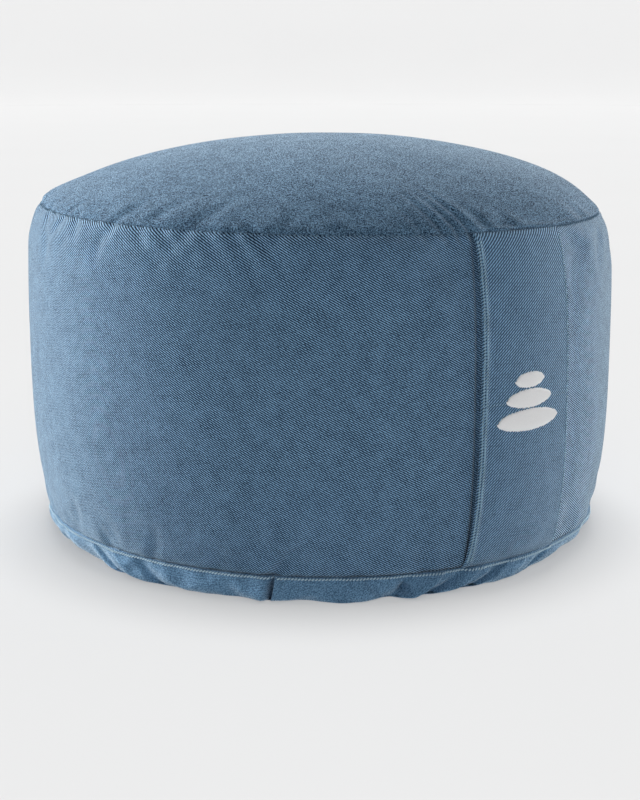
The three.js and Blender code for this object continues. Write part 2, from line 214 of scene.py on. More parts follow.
# Puckers at the seams: angle right of the camera, length on the top panel and on the side,
# width, slant (mm along the seam for each mm away from it), and depth. The base seam's are on the
# side only, above it, and have their length in the second place.
TOP_PUCKERS = [
    (-52, 8, 9, 3.4, 0.5, 0.5),
    (-41, 16, 11, 3.6, -0.5, 0.8),
    (-35, 6, 12, 3.0, 0.8, 0.6),
    (-33, 20, 0, 4.6, -0.6, 0.8),
    (-29.5, 5, 13, 3.2, 0.9, 0.7),
    (-24, 20, 12, 5.0, -0.7, 0.8),
    (-21, 0, 13, 3.2, 0.8, 0.7),
    (-15.5, 5, 13, 3.0, 0.6, 0.8),
    (-11.5, 6, 18, 3.2, 0.9, 1.6),
    (-9, 0, 16, 3.0, 0.8, 0.9),
    (-6.5, 16, 6, 4.6, -0.4, 1.0),
    (-3.5, 10, 4, 4.0, -0.5, 0.6),
    (3, 6, 5, 3.4, 0.3, 0.4),
    (15, 7, 4, 3.4, 0.2, 0.4),
    (18.5, 14, 4, 2.4, 0.5, 0.7),
    (22.5, 22, 4, 2.2, 0.45, 1.3),
    (25.4, 18, 4, 2.0, 0.42, 1.2),
    (28, 24, 3, 2.4, 0.42, 1.5),
    (32, 16, 0, 2.6, 0.4, 0.7),
    (38, 12, 0, 3.4, 0.3, 0.4),
]
BASE_PUCKERS = [
    (-44, 0, 10, 3.0, -0.4, 0.6),
    (-33, 0, 12, 3.0, 0.3, 0.6),
    (-20, 0, 12, 3.4, 0.5, 0.5),
    (-8.5, 0, 28, 4.0, 0.8, 1.6),
    (-4.5, 0, 20, 3.4, 0.6, 0.8),
    (7, 0, 9, 3.0, -0.3, 0.5),
    (20, 0, 12, 3.4, -0.5, 0.7),
]


def stray_puckers(seed, count, depth):
    """Small puckers round the side and back, where the main ones stop."""
    first, last = -56, 92
    random = np.random.default_rng(seed)
    made = []
    for i in range(count):
        at = 360 * (i + random.uniform(-0.35, 0.35)) / count
        slant = random.uniform(-0.8, 0.8)
        lengths = random.uniform(3, 14, 2)
        strength = depth * random.uniform(0.3, 1)
        if not first < apart(at, 0) < last:
            made.append((at, *lengths, random.uniform(2.4, 4), slant, strength))
    return made


def puckers(features, degrees, away, on_side):
    """How far the cloth is pulled in, at a distance away from the seam, on one side of it."""
    depth = np.zeros(np.broadcast(degrees, away).shape)
    for at, top_length, side_length, width, slant, strength in features:
        length = side_length if on_side else top_length
        if length <= 0:
            continue
        along = apart(degrees, CAMERA_AT + at) * math.radians(TOP_RADIUS)
        side = (along + slant * away * (-1 if on_side else 1)) / width
        dent = bell(side) - 0.55 * bell(side - 1.7) - 0.35 * bell(side + 1.8)
        depth += strength * dent * bell(away / length)
    return depth


TOP_FEATURES = TOP_PUCKERS + stray_puckers(11, 44, 1.1)
BASE_FEATURES = BASE_PUCKERS + stray_puckers(12, 40, 0.9)


def groove(away):
    return SEAM_GROOVE * np.exp(-np.abs(away) / SEAM_REACH * 2)


def strap_press(degrees):
    """How far the side is pressed in beside the strap's left edge, and puffed out by its right edge."""
    across = apart(degrees, STRAP_AT) * math.radians(TOP_RADIUS + BULGE)
    edge = STRAP_WIDTH / 2
    dent, dent_width = 1.9, 1.6
    puff, puff_rise, puff_reach = 1.3, 1.2, 14
    pressed = dent * bell((across + edge) / dent_width)
    beyond = np.maximum(across - edge - 0.5, 0)
    puffed = puff * smooth(beyond / puff_rise) * np.exp(-beyond / puff_reach)
    return pressed - puffed


def side_radius(degrees, share):
    """The side is fullest near its top, apart from where the strap holds it in."""
    held, held_in = within(degrees, STRAP_AT, 24, 11), 0.5
    up = 2 * share - 1
    power = np.where(up > 0, mix(6.5, 3.0, held), mix(2.5, 2.8, held))
    return mix(BASE_RADIUS, TOP_RADIUS, share) + BULGE * (1 - np.abs(up) ** power) - held_in * held


def side_share(degrees, share):
    """The share of the way up between the seams, at a share of the way up the side panel."""
    low, high = seam_heights(degrees)
    edge = mix(low, ZIP_TOP, zip_opening(degrees))
    return (mix(edge, high, share) - low) / (high - low)


FLAP_ROLL, FLAP_WIDTH = 0.5, 1.3  # the folded edges over the zip stand this proud, this wide
BASE_GROOVE = 1.3  # how much deeper the base seam's groove is than the top seam's


def side_point(degrees, share, out=0.0):
    """A point on the barrel side, share of the way up it, and out from the cloth's face."""
    low, high = seam_heights(degrees)
    up = side_share(degrees, share)
    z = mix(low, high, up)
    radius = side_radius(degrees, up)
    opening = zip_opening(degrees)
    below_top, above_base = high - z, z - low
    pull = puckers(TOP_FEATURES, degrees, below_top, on_side=True)
    pull = pull + puckers(BASE_FEATURES, degrees, above_base, on_side=True) * (1 - 0.8 * opening)
    pull = pull + groove(below_top) + BASE_GROOVE * groove(above_base) * (1 - opening)
    pull = pull - opening * FLAP_ROLL * bell((z - ZIP_TOP) / FLAP_WIDTH)
    pull = pull + strap_press(degrees) * np.sin(np.pi * share) ** 0.3
    swell = 0.5 * ripple(degrees + 30 * share, 5, 3, 14) * np.sin(np.pi * share)
    clear_of_strap = smooth((np.abs(apart(degrees, STRAP_AT)) - 11) / 8)
    swell = (swell + reliefs["side"](degrees, share)) * clear_of_strap
    return polar(radius - pull + swell + out, degrees, z)


DOME_POWER = 1.44  # how soon the top's rise falls off towards its rim
LIP = (CAMERA_AT + 48, 24, 10)  # where the rim rolls over its seam: middle, span and fade in degrees
LIP_HEIGHT, LIP_FROM_SEAM = 0.9, 1.4
CREASED = (CAMERA_AT + 24, 15, 7)  # where the sharp creases stand


def dome_point(degrees, share, out=0.0):
    """A point on the top panel, share of the way in from its rim to its middle."""
    angle = share * np.pi / 2
    radius = TOP_RADIUS * np.cos(angle)
    rise = CROWN * np.sin(angle) ** DOME_POWER
    away = np.hypot(TOP_RADIUS - radius, rise) + 0 * degrees
    pull = puckers(TOP_FEATURES, degrees, away, on_side=False) + groove(away)
    lip = within(degrees, *LIP)
    pull = pull - LIP_HEIGHT * lip * bell(away - LIP_FROM_SEAM)
    flat = np.sin(angle)
    swell = 0.9 * ripple(degrees + 50 * share, 7, 3, 10) * np.sin(np.pi * share) ** 2
    _, seam = seam_heights(degrees)
    fuller = 0.6 * np.cos(np.radians(degrees - TILT_AT)) + 0.8  # most on the side right of the camera
    z = mix(seam, TOP_SEAM, smooth(share * 2.5)) + rise + fuller * np.sin(np.pi * share)
    normal_out, normal_up = 1 - flat, 0.35 + 0.65 * flat
    creased = within(degrees, *CREASED)
    move = out + swell + reliefs["dome"](degrees, share) * (1 - 0.8 * creased) - pull
    return polar(radius + move * normal_out, degrees, z + move * normal_up)


TUCK_AT = -8.6  # a sharp tuck, this many degrees right of the camera
# The base's gathers: angle right of the camera, width in degrees, drift (degrees from the seam
# to the floor), and how far the fold stands out.
GATHERS = [
    (-58, 3.0, 9, 2.5),
    (-47, 2.6, 9, -3.0),
    (-41, 2.2, 8, 2.6),
    (-35, 2.4, 8, -2.8),
    (-29, 4.0, 5, 0.6),
    (-14, 6.0, 2, 1.6),
    (TUCK_AT, 0.5, -0.9, -8.5),
    (TUCK_AT - 1.6, 1.5, -0.9, 2.2),
    (TUCK_AT + 1.9, 1.3, -0.9, 1.2),
    (5.5, 3.0, 3, 1.6),
    (9.5, 1.6, 5, -1.6),
    (15.5, 1.5, -4, -3.6),
    (20.5, 2.0, -9, 3.4),
    (25, 1.8, -11, -3.0),
    (28.5, 2.0, -11, 3.2),
    (34.5, 1.8, -12, -3.4),
    (41, 2.6, -8, 1.6),
    (48, 2.4, -8, -2.6),
    (54, 2.6, -8, 2.0),
]


def stray_gathers(seed, count):
    """Gathers round the sides and back, where the main ones stop, standing out and in by turns."""
    reach = 60
    random = np.random.default_rng(seed)
    made = []
    for i in range(count):
        at = 360 * (i + random.uniform(-0.3, 0.3)) / count
        depth = random.uniform(1.6, 3.4) * (1 if i % 2 else -1)
        feature = (at, random.uniform(1.5, 3.2), random.uniform(-9, 9), depth)
        if abs(apart(at, 0)) > reach:
            made.append(feature)
    return made


# Pockets where a fold turns under: angle, share of the way down, width in degrees, height, depth.
POCKETS = [
    (15.8, 0.42, 0.9, 0.14, -5.5),
    (17.0, 0.74, 2.6, 0.16, 3.0),
    (-9.4, 0.7, 1.0, 0.2, 1.6),
]
ALL_GATHERS = GATHERS + stray_gathers(21, 62)
STEEP_SIDE, GENTLE_SIDE = 0.32, 1.3  # a fold's two flanks, as shares of its width


def gather_depth(degrees, share):
    """How far the gathered base stands out, share of the way from its seam to the floor."""
    depth = np.zeros(np.broadcast(degrees, share).shape)
    for at, width, drift, strength in ALL_GATHERS:
        side = apart(degrees, CAMERA_AT + at + drift * (share - 0.3)) / width
        steep = side * np.sign(drift) < 0
        depth += strength * bell(side / np.where(steep, STEEP_SIDE, GENTLE_SIDE))
    depth = depth * np.sin(np.pi * np.clip(share, 0, 1) ** 0.8) ** 0.8
    for at, height, width, tall, strength in POCKETS:
        side = apart(degrees, CAMERA_AT + at) / width
        depth += strength * np.exp(-(side**2) - ((share - height) / tall) ** 2)
    return depth


BASE_CLOTH = 15  # about how much cloth runs from the base's seam to the floor
BASE_DROP = 1.1  # the power by which the base's height falls off
PROFILE_BACK, PROFILE_FRONT = 2.6, 0.9  # the powers by which its radius falls off
FOOT_BUMP, FOOT_BUMP_AT, FOOT_BUMP_WIDTH = 2.8, CAMERA_AT + 4.5, 8  # where its foot reaches out most


def base_point(degrees, share, out=0.0):
    """A point on the gathered base, from its edge (0) to the floor (1) and on to its middle (2)."""
    low, _ = seam_heights(degrees)
    opening = zip_opening(degrees)
    start = np.arcsin(1 - (ZIP_FOOT / low) ** (1 / BASE_DROP)) * 2 / np.pi
    edge = mix(start * opening, 1, np.clip(share, 0, 1))
    under = np.clip(share - 1, 0, 1)
    angle = edge * np.pi / 2
    depth = gather_depth(degrees, edge) + reliefs["base"](degrees, edge)
    facing = np.cos(np.radians(degrees - CAMERA_AT))
    front = smooth((facing - 0.55) / 0.33)
    foot = FLOOR_RADIUS + FLOOR_SHIFT * front + mix(0.8, 1.8, front) * ripple(degrees, 9, 5, 30)
    foot = foot + FOOT_BUMP * bell(apart(degrees, FOOT_BUMP_AT) / FOOT_BUMP_WIDTH)
    power = mix(PROFILE_BACK, PROFILE_FRONT, front) * (1 - 0.5 * opening)
    radius = mix(foot, BASE_RADIUS, np.cos(angle) ** power) + 2 * front * np.sin(2 * angle)
    radius = radius + depth * mix(0.6, 1.0, front) * (1 - 0.5 * opening)
    radius = radius - 0.5 * groove(edge * BASE_CLOTH) * (edge < 1) * (1 - opening)
    z = low * (1 - np.sin(angle)) ** BASE_DROP
    inner_bag = FLOOR_RADIUS + 0.4 + 1.5 * smooth(z / 1.8)
    radius = np.maximum(radius, inner_bag)
    radius = np.where(share > 1, foot * (1 - under), radius)
    z = np.where(share > 1, 0, z)
    return polar(radius + out * np.cos(angle), degrees, np.maximum(z - out * np.sin(angle), 0))


def seam_allowance(degrees, turned, out=0.0):
    """A point on the base panel's edge, turned in under the side by this much."""
    rim = base_point(degrees, 0.0)
    radius = np.linalg.norm(rim[:, :2], axis=1)
    inward = turned * (1 - 0.75 * zip_opening(degrees))
    return polar(radius - inward, degrees, rim[:, 2] - 0.15 * min(turned, 1.0))


def put_in_scene(name, data):
    made = bpy.data.objects.new(name, data)
    bpy.context.scene.collection.objects.link(made)
    return made


# ---- Cloth simulation ----
SIM_COLUMNS = 240
SIM_FRAMES = 20
SIM_GROWTH = 0.035  # the cloth is cut this much larger than the form, so that it buckles by its seams
SIM_CAP = 1.8  # the furthest that a place may move, in millimetres
SIM_CALM = 0.4  # the share of the top panel, from its rim, beyond which it stays smooth


def simulate_cover():
    """Blow the cover up as cloth held at its seams and at the floor, and keep its buckles as reliefs.

    Each ring's average is taken off again, so the cushion keeps its outline.
    """
    base_rows = np.linspace(1, 0, 10)
    side_rows = crowded(28, 1.3)
    dome_rows = np.linspace(0, 1, 19) ** 1.3
    around = STRAP_AT + 360 * np.arange(SIM_COLUMNS) / SIM_COLUMNS
    rings = [base_point(around, share) for share in base_rows[:-1]]
    rings += [side_point(around, share) for share in side_rows]
    rings += [dome_point(around, share) for share in dome_rows[1:-1]]
    rest = np.stack(rings)
    rows = len(rings)
    index = np.arange(rows * SIM_COLUMNS).reshape(rows, SIM_COLUMNS)
    closed = np.hstack([index, index[:, :1]])
    pole, last = rows * SIM_COLUMNS, closed[-1].tolist()
    faces = grid_faces(closed) + [(a, b, pole) for a, b in zip(last, last[1:])]
    top = dome_point(np.array([0.0]), 1.0)
    mesh = bpy.data.meshes.new("cage")
    mesh.from_pydata((np.concatenate([rest.reshape(-1, 3), top]) * MM).tolist(), [], faces)
    cage = put_in_scene("cage", mesh)
    side_start, side_end = len(base_rows) - 1, len(base_rows) + len(side_rows) - 1
    seam_rows = [0, side_start, side_end - 1]
    held = cage.vertex_groups.new(name="held")
    held.add(index[seam_rows].reshape(-1).tolist(), 1.0, "REPLACE")

    cloth = cage.modifiers.new("cloth", "CLOTH")
    cloth.collision_settings.use_collision = False
    settings = cloth.settings
    settings.quality, settings.mass = 5, 0.001
    settings.tension_stiffness = settings.compression_stiffness = 18
    settings.shear_stiffness, settings.bending_stiffness = 6, 0.06
    settings.use_pressure, settings.uniform_pressure_force = True, 8
    settings.effector_weights.gravity = 0
    settings.vertex_group_mass = "held"
    settings.shrink_min = -SIM_GROWTH
    cloth.point_cache.frame_start, cloth.point_cache.frame_end = 1, SIM_FRAMES
    for step in range(1, SIM_FRAMES + 1):
        bpy.context.scene.frame_set(step)
    blown = cage.evaluated_get(bpy.context.evaluated_depsgraph_get()).to_mesh()
    places = np.zeros(len(blown.vertices) * 3)
    blown.vertices.foreach_get("co", places)
    bpy.data.objects.remove(cage)
    bpy.context.scene.frame_set(1)

    moved = places.reshape(-1, 3)[:pole].reshape(rest.shape) / MM - rest
    normal = np.cross(np.roll(rest, -1, axis=1) - np.roll(rest, 1, axis=1), np.gradient(rest, axis=0))
    normal /= np.linalg.norm(normal, axis=2, keepdims=True)
    height = (moved * normal).sum(axis=2)
    height -= height.mean(axis=1, keepdims=True)
    height = SIM_CAP * np.tanh(height / SIM_CAP)
    crown = np.zeros((1, SIM_COLUMNS))
    calm = 1 - smooth(dome_rows[1:-1] / SIM_CALM)
    height[-len(calm) :] *= calm[:, None]
    reliefs["base"] = Relief(base_rows[::-1], height[: side_start + 1][::-1])
    reliefs["side"] = Relief(side_rows, height[side_start:side_end])
    reliefs["dome"] = Relief(dome_rows, np.concatenate([height[side_end - 1 :], crown]))


# ---- Meshes ----
def skin(name, rings, loop=False, rounded=True):
    """A mesh from rings, each (points, pattern): n points and n + 1 flat-cloth places, or one of each.

    Neighbouring rings are joined, and with loop the last is joined to the first. Ends made of
    triangles are flat unless rounded.
    """
    starts, uv_starts, total, uv_total = [], [], 0, 0
    for points, pattern in rings:
        starts.append(total)
        uv_starts.append(uv_total)
        total += len(points)
        uv_total += len(pattern)
    vertices = np.concatenate([points for points, _ in rings]) * MM
    flat = np.concatenate([pattern for _, pattern in rings]) * MM
    faces, corners = [], []
    pairs = list(zip(range(len(rings) - 1), range(1, len(rings))))
    if loop:
        pairs.append((len(rings) - 1, 0))
    for a, b in pairs:
        count_a, count_b = len(rings[a][0]), len(rings[b][0])
        count = max(count_a, count_b)
        j = np.arange(count)
        k = (j + 1) % count
        step_a, step_b = int(count_a > 1), int(count_b > 1)
        at_a, at_b = starts[a] + j * step_a, starts[b] + j * step_b
        next_a, next_b = starts[a] + k * step_a, starts[b] + k * step_b
        uv_a, uv_b = uv_starts[a] + j * step_a, uv_starts[b] + j * step_b
        quad = np.stack([at_a, next_a, next_b, at_b], axis=1)
        place = np.stack([uv_a, uv_a + step_a, uv_b + step_b, uv_b], axis=1)
        if count_a == 1:
            quad, place = quad[:, 1:], place[:, 1:]
        elif count_b == 1:
            quad, place = quad[:, :3], place[:, :3]
        faces.extend(quad.tolist())
        corners.append(place.reshape(-1))
    return finish_mesh(name, vertices, faces, flat[np.concatenate(corners)], rounded)


def finish_mesh(name, vertices, faces, flat=None, rounded=True):
    mesh = bpy.data.meshes.new(name)
    mesh.from_pydata(vertices.tolist(), [], faces)
    if flat is not None:
        layer = mesh.uv_layers.new(name="Pattern")
        layer.data.foreach_set("uv", np.asarray(flat, np.float32).reshape(-1))
    sizes = np.array([len(face) for face in faces])
    mesh.polygons.foreach_set("use_smooth", (sizes == 4) | rounded)
    mesh.update()
    mesh.calc_loop_triangles()
    corners = np.zeros(len(mesh.loop_triangles) * 3, np.int32)
    mesh.loop_triangles.foreach_get("vertices", corners)
    a, b, c = vertices[corners.reshape(-1, 3)].transpose(1, 0, 2)
    if np.einsum("ij,ij->i", a, np.cross(b, c)).sum() < 0:
        mesh.flip_normals()
    return put_in_scene(name, mesh)


def grid_faces(index):
    """The four-sided faces between neighbours in a grid of vertex numbers."""
    corners = [index[:-1, :-1], index[:-1, 1:], index[1:, 1:], index[1:, :-1]]
    return np.stack(corners, axis=-1).reshape(-1, 4).tolist()


def columns(count=COLUMNS):
    """The angles of the mesh columns, which start under the strap, and of the closing edge.

    They stand closer together at the tuck in the base, by the sharp creases in the top, and at the
    strap's edges.
    """
    even = STRAP_AT + 360 * np.arange(count + 1) / count
    strap_edge = math.degrees(STRAP_WIDTH / 2 / (TOP_RADIUS + BULGE))
    tuck = CAMERA_AT + TUCK_AT + 360 + np.linspace(-3, 3, 61)
    creases = CAMERA_AT + 360 + np.linspace(11, 27, 97)
    edges = [STRAP_AT + turn + np.linspace(-1.4, 1.4, 19) for turn in (strap_edge, 360 - strap_edge)]
    return np.unique(np.round(np.concatenate([even, tuck, creases, *edges]), 4))


def side_ring(share, out=0.0):
    around = columns()
    flat_round = np.radians(around - STRAP_AT) * SIDE_HIGH[0]
    flat_up = side_share(around, share) * SIDE_HEIGHT
    return side_point(around[:-1], share, out), np.stack([flat_round, flat_up], axis=1)


def disc_ring(place, share, flat_radius, out=0.0, count=COLUMNS):
    around = columns(count)
    return place(around[:-1], share, out), polar(flat_radius, around, 0.0)[:, :2]


def side_panel():
    outer = [side_ring(share) for share in crowded(82)]
    inner = [side_ring(share, -CLOTH) for share in crowded(12)[::-1]]
    return skin("cover_side_panel_cloth", outer + inner, loop=True)


def dome_shares(count):
    return np.linspace(0, 1, count) ** 1.5


def top_panel():
    def rings(count, out):
        shares = dome_shares(count)[:-1]
        return [disc_ring(dome_point, share, TOP_RADIUS * 1.05 * (1 - share), out) for share in shares]

    def pole(out):
        return dome_point(np.array([0.0]), 1.0, out), np.zeros((1, 2))

    outer, inner = rings(72, 0.0), rings(20, -CLOTH)
    return skin("cover_top_panel_cloth", [*outer, pole(0.0), pole(-CLOTH), *inner[::-1]], loop=True)


def base_panel():
    edge = np.linspace(0, 1, 26)
    under = 1 + np.linspace(0, 1, 12)[1:-1]
    count = 3 * COLUMNS // 2
    wall = 16  # how wide the panel's standing part is, laid flat
    flat_edge = FLOOR_RADIUS + wall
    outer = [disc_ring(seam_allowance, turned, flat_edge + turned, count=count) for turned in (4.5, 2.2, 0.8)]
    outer += [disc_ring(base_point, share, flat_edge - wall * share, count=count) for share in edge]
    outer += [disc_ring(base_point, share, FLOOR_RADIUS * (2 - share), count=count) for share in under]
    pole = [(np.array([[0.0, 0.0, z]]), np.zeros((1, 2))) for z in (0.0, CLOTH)]
    inner = []
    for points, pattern in outer[::-1][::2]:
        radius = np.linalg.norm(points[:, :2], axis=1)
        shrink = (radius - CLOTH * smooth(points[:, 2] / 4)) / radius
        raised = points * np.stack([shrink, shrink, 1 + 0 * shrink], axis=1)
        raised[:, 2] = np.maximum(raised[:, 2], CLOTH)
        inner.append((raised, pattern))
    return skin("cover_base_panel_cloth", [*outer, *pole, *inner], loop=True)


# ---- Materials ----
class Shader:
    """A node material: each call adds a node, and returns its output to feed to others."""

    def __init__(self, name, **fixed):
        self.material = bpy.data.materials.new(name)
        self.material.use_nodes = True
        self.nodes, self.links = self.material.node_tree.nodes, self.material.node_tree.links
        self.surface = next(n for n in self.nodes if n.type == "BSDF_PRINCIPLED")
        for socket, value in fixed.items():
            self.surface.inputs[socket.replace("_", " ")].default_value = value

    def feed(self, node, inputs):
        for key, value in inputs.items():
            socket = node.inputs[key]
            if isinstance(value, bpy.types.NodeSocket):
                self.links.new(value, socket)
            else:
                socket.default_value = value

    def add(self, kind, inputs, output=0, **settings):
        node = self.nodes.new("ShaderNode" + kind)
        for key, value in settings.items():
            setattr(node, key, value)
        self.feed(node, inputs)
        return node.outputs[output]

    def math(self, operation, a, b=0.0):
        return self.add("Math", {0: a, 1: b}, operation=operation)

    def wave(self, phase):
        """From 0 to 1, once for each unit of phase."""
        turn = self.math("SINE", self.math("MULTIPLY", phase, 2 * math.pi))
        return self.math("ADD", self.math("MULTIPLY", turn, 0.5), 0.5)

    def place(self):
        return self.add("TexCoord", {}, output="Object")

    def split(self, vector):
        node = self.nodes.new("ShaderNodeSeparateXYZ")
        self.feed(node, {0: vector})
        return node.outputs

    def pattern(self):
        """The flat cloth's own coordinates, in metres."""
        return self.split(self.add("UVMap", {}, uv_map="Pattern"))[:2]

    def centred(self, value, gain):
        """The value's distance from a half, times a gain."""
        return self.math("MULTIPLY", self.math("SUBTRACT", value, 0.5), gain)

    def noise(self, vector, scale, detail=2.0, roughness=0.5):
        inputs = {"Vector": vector, "Scale": scale, "Detail": detail, "Roughness": roughness}
        return self.add("TexNoise", inputs)

    def ramp(self, factor, *stops):
        node = self.nodes.new("ShaderNodeValToRGB")
        self.feed(node, {0: factor})
        elements = node.color_ramp.elements
        while len(elements) < len(stops):
            elements.new(0.5)
        for element, (position, color) in zip(elements, stops):
            element.position, element.color = position, (*color, 1)
        return node.outputs[0]

    def tinted(self, color, tint):
        node = self.nodes.new("ShaderNodeMix")
        node.data_type, node.blend_type = "RGBA", "MULTIPLY"
        self.feed(node, {0: 1.0, 6: color, 7: tint})
        return node.outputs[2]

    def bump(self, height, distance, strength=1.0, normal=None):
        inputs = {"Height": height, "Distance": distance, "Strength": strength}
        if normal is not None:
            inputs["Normal"] = normal
        return self.add("Bump", inputs)

    def done(self, **inputs):
        self.feed(self.surface, {key.replace("_", " "): value for key, value in inputs.items()})
        return self.material


DENIM = (0.076, 0.161, 0.262)
DASH = 2.6 * MM  # how long each float of yarn is along a rib


def twill(name, lean, pitch, ribs, contrast, tone=1.0, sheen=0.8, grain=1300):
    """Denim with ribs of a lean in degrees and a pitch, which outweigh its flecks by a share from 0 to 1.

    Tone is its lightness; on the top and base panels it also carries painted shade and painted light. Sheen
    is the fuzz on its ribs, and grain how fine its flecks are.
    """
    tint = (0.72, 0.88, 1.0, 1)
    s = Shader(name, Roughness=0.85, Sheen_Roughness=0.5, Sheen_Tint=tint, Specular_IOR_Level=0.2)
    u, v = s.pattern()
    place = s.place()
    slant = math.radians(lean)
    drift = s.math("MULTIPLY", s.noise(place, 40, 3), 0.7 * pitch)
    sine, cosine = math.sin(slant), math.cos(slant)
    across = s.math("ADD", s.math("MULTIPLY", u, sine), s.math("MULTIPLY", v, cosine))
    rib = s.wave(s.math("DIVIDE", s.math("ADD", across, drift), pitch))
    along = s.math("SUBTRACT", s.math("MULTIPLY", u, cosine), s.math("MULTIPLY", v, sine))
    stagger = s.math("DIVIDE", across, 2 * pitch)
    dash = s.wave(s.math("ADD", s.math("DIVIDE", along, DASH), stagger))
    fleck = s.noise(place, grain, 3, 0.65)
    slub = s.noise(place, 120, 3, 0.6)
    height = s.math("ADD", s.math("MULTIPLY", rib, 0.8), s.math("MULTIPLY", dash, 0.2))
    specks = s.math("ADD", s.centred(fleck, 4.6 * (1.15 - ribs)), s.centred(slub, 0.3))
    level = s.math("ADD", s.math("ADD", s.centred(height, ribs), specks), 0.5)
    lit = s.add("MapRange", {"Value": level, "From Min": 0.22 + 0.2 * ribs, "From Max": 0.78 + 0.1 * ribs})
    peak = 1 + 0.55 * ribs  # bright ribs are narrow, so they are brighter to keep the same lightness
    dark = tuple(tone * c * (1 - contrast * k) for c, k in zip(DENIM, (1.0, 0.92, 0.85)))
    light = tuple(peak * tone * c * (1 + contrast * k) for c, k in zip(DENIM, (1.3, 1.05, 0.9)))
    color = s.ramp(lit, (0.0, dark), (1.0, light))
    fuzzy = s.math("MINIMUM", s.math("MULTIPLY", lit, 4 * sheen), 1.0)
    wash = s.ramp(s.noise(place, 9, 4, 0.6), (0.3, (0.93, 0.94, 0.95)), (0.7, (1.06, 1.05, 1.04)))
    color = s.tinted(color, wash)
    fine = s.bump(height, 0.25 * ribs * MM, 0.8)
    fuzz = s.bump(fleck, 0.12 * MM, 0.5, fine)
    return s.done(Base_Color=color, Normal=fuzz, Sheen_Weight=fuzzy)


def thread(name, color, roughness=0.55, sheen=0.3, shade=0.72):
    s = Shader(name, Roughness=roughness, Sheen_Weight=sheen, Sheen_Roughness=0.4)
    fibre = s.noise(s.place(), 2600, 2, 0.6)
    dark = tuple(shade * c for c in color)
    return s.done(Base_Color=s.ramp(fibre, (0.3, dark), (0.7, color)), Normal=s.bump(fibre, 0.05 * MM, 0.6))


def plain_cloth(name, light, dark, pitch=0.6 * MM):
    s = Shader(name, Roughness=0.92, Sheen_Weight=0.2, Sheen_Roughness=0.5)
    place = s.place()
    waves = [s.wave(s.math("DIVIDE", axis, pitch)) for axis in s.split(place)]
    weave = s.math("MULTIPLY", s.math("ADD", waves[0], waves[1]), waves[2])
    tone = s.math("ADD", s.math("MULTIPLY", weave, 0.3), s.math("MULTIPLY", s.noise(place, 700, 3), 0.5))
    return s.done(Base_Color=s.ramp(tone, (0.2, dark), (0.8, light)), Normal=s.bump(weave, 0.15 * MM, 0.6))


def metal(name, light, dark):
    s = Shader(name, Metallic=1.0)
    wear = s.noise(s.place(), 260, 4, 0.65)
    rough = s.ramp(wear, (0.3, (0.22,) * 3), (0.75, (0.42,) * 3))
    color = s.ramp(wear, (0.35, light), (0.8, dark))
    return s.done(Base_Color=color, Roughness=rough, Normal=s.bump(wear, 0.03 * MM, 0.3))


def nylon(name, color):
    s = Shader(name, Coat_Weight=0.1)
    grain = s.noise(s.place(), 900, 2)
    rough = s.ramp(grain, (0.3, (0.36,) * 3), (0.7, (0.5,) * 3))
    darker = tuple(0.8 * c for c in color)
    return s.done(Base_Color=s.ramp(grain, (0.3, darker), (0.7, color)), Roughness=rough)


def dress(obj, material):
    obj.data.materials.clear()
    obj.data.materials.append(material)
    return obj


TWILL = twill("denim_twill", 29, 1.0 * MM, 0.97, 0.97, 1.0, 0.8)
# The top panel's denim is darker in tone (0.88) than the side's (1.0): painted shade for the top, which gets
# less light. Its lesser ribs, pitch and sheen are not painted.
DOME_TWILL_PAINTED_SHADE = twill("denim_twill_top_painted_shade", 29, 1.3 * MM, 0.5, 0.97, 0.88, 0.12, 1700)
# The base panel's denim is lighter in tone (1.32) than the side's (1.0): painted light, standing in for the
# light that the floor throws back onto the gathered base. Its lean and softer ribs are the cloth's own.
BASE_TWILL_PAINTED_LIGHT = twill("denim_twill_base_painted_light", 62, 1.0 * MM, 0.3, 0.36, 1.32, 0.4, 1700)
STRAP_TWILL = twill("denim_twill_strap", 39, 1.25 * MM, 0.97, 0.65, 1.0)
THREAD = thread("topstitch_thread", (0.34, 0.54, 0.68))
SEAM_THREAD = thread("seam_thread", (0.52, 0.72, 0.84))
TIE_THREAD = thread("tie_thread", (0.13, 0.25, 0.36), 0.8)
EMBROIDERY = thread("embroidery_thread", (1.0, 1.0, 1.0), 0.4, 1.0, 0.93)
TAPE = plain_cloth("zip_tape", (0.075, 0.13, 0.19), (0.035, 0.07, 0.11), 0.5 * MM)
COIL = nylon("zip_coil_nylon", (0.06, 0.11, 0.16))
NICKEL = metal("nickel_plate", (0.68, 0.68, 0.67), (0.5, 0.5, 0.5))
CALICO = plain_cloth("calico", (0.72, 0.66, 0.55), (0.52, 0.46, 0.36))
HUSKS = plain_cloth("husks", (0.5, 0.33, 0.15), (0.28, 0.17, 0.07), 4 * MM)
LABEL = plain_cloth("label_tape", (0.8, 0.8, 0.77), (0.66, 0.66, 0.63), 0.4 * MM)
CAD_LOOKS = {
    "nickel": NICKEL,
    "calico": CALICO,
    "calico_nylon": CALICO,
    "husks": HUSKS,
    "label_tape": LABEL,
    "zip_tape": TAPE,
    "nylon_coil": COIL,
    "denim_twill": TWILL,
    "blue_thread": THREAD,
    "embroidery_thread": EMBROIDERY,
}
for part in frame["record"]["subparts"]:
    dress(frame["nodes"][part["node"]], CAD_LOOKS[part["material_slot"]])


# ---- Strap ----
def strap_point(across, share, out):
    """A point on the strap: across from its middle, share of the way up, out from its inner face."""
    rise = 1 - np.abs(2 * share - 1) ** 3
    seam = mix(BASE_RADIUS, TOP_RADIUS, share)
    flared = across * (1 + STRAP_FLARE * (1 - 2 * share))
    sag = (seam - np.sqrt(seam**2 - flared**2)) * (1 - STRAP_FLATTEN * rise)
    tuck = STRAP_TUCK * np.exp(-np.minimum(share, 1 - share) / STRAP_TUCK_REACH)
    y = sag - out - seam - STRAP_GAP - STRAP_BOW * rise + tuck
    ends = seam_heights(STRAP_AT + np.degrees(across / seam))
    return np.stack([flared, y, mix(*ends, share)], axis=-1)


